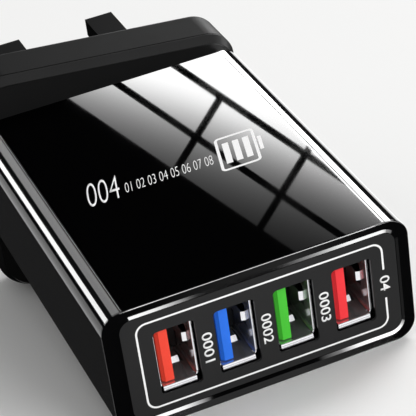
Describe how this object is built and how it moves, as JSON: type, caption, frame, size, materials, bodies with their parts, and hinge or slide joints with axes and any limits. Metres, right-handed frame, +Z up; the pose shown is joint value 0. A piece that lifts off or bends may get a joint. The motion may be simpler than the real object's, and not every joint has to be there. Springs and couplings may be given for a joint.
{
  "type": "usb wall charger",
  "caption": "Plug-in charger: flat glossy black case with a row of USB ports on its front end and a three-pin mains plug on its rear end, lying panel up.",
  "frame": {"origin": "bottom centre of the charger's box as it lies on a table, panel up", "axes": "+X across the port row, +Y from the ports towards the plug, +Z up from the table"},
  "size_m": [0.0614, 0.1192, 0.0533],
  "materials": {
    "case_black": "glossy black moulding",
    "panel_black": "mirror-gloss black acrylic",
    "bezel_black": "glossy black moulding",
    "face_black": "fine matte black",
    "plug_black": "satin black moulding",
    "port_steel": "bright nickel on folded steel",
    "tongue_orange": "orange-red moulding",
    "tongue_blue": "blue moulding",
    "tongue_green": "green moulding",
    "tongue_red": "red moulding",
    "base_black": "moulded block",
    "contact_gold": "gold flash",
    "board_green": "solder resist",
    "can_black": "shrunk film on a metal can",
    "chip_black": "moulded package",
    "ferrite": "sintered ferrite",
    "bobbin_black": "moulded bobbin",
    "winding_tape": "yellow polyester tape",
    "winding_copper": "enamelled copper wire",
    "heatsink_metal": "bare sheet",
    "disc_blue": "dipped coating",
    "filter_yellow": "moulded box",
    "fuse_brown": "moulded can",
    "pin_metal": "black nickel on brass",
    "sleeve_black": "insulating sleeve",
    "strip_brass": "folded strip",
    "screw_steel": "zinc-plated steel"
  },
  "bodies": {
    "root": {"housing_sleeve": "case_black", "top_panel": "panel_black", "front_bezel": "bezel_black", "face_plate": "face_black", "main_board": "board_green", "output_capacitors": "can_black", "port_chips": "chip_black", "switching_chip": "chip_black", "transformer_core": "ferrite", "transformer_bobbin": "bobbin_black", "transformer_winding": "winding_tape", "output_heatsink": "heatsink_metal", "output_rectifier": "chip_black", "disc_capacitor": "disc_blue", "optocoupler": "chip_black", "input_capacitors": "can_black", "filter_capacitor": "filter_yellow", "choke_core": "ferrite", "choke_winding": "winding_copper", "bridge_rectifier": "chip_black", "fuse": "fuse_brown", "plug_front_cover": "plug_black", "plug_rear_cover": "plug_black", "earth_pin": "sleeve_black", "cover_screws": "screw_steel", "usb_shell_1": "port_steel", "usb_tongue_1": "tongue_orange", "usb_base_1": "base_black", "usb_contacts_1": "contact_gold", "usb_shell_2": "port_steel", "usb_tongue_2": "tongue_blue", "usb_base_2": "base_black", "usb_contacts_2": "contact_gold", "usb_shell_3": "port_steel", "usb_tongue_3": "tongue_green", "usb_base_3": "base_black", "usb_contacts_3": "contact_gold", "usb_shell_4": "port_steel", "usb_tongue_4": "tongue_red", "usb_base_4": "base_black", "usb_contacts_4": "contact_gold", "neutral_pin": "pin_metal", "neutral_sleeve": "sleeve_black", "neutral_strip": "strip_brass", "live_pin": "pin_metal", "live_sleeve": "sleeve_black", "live_strip": "strip_brass"}
  },
  "joints": []
}
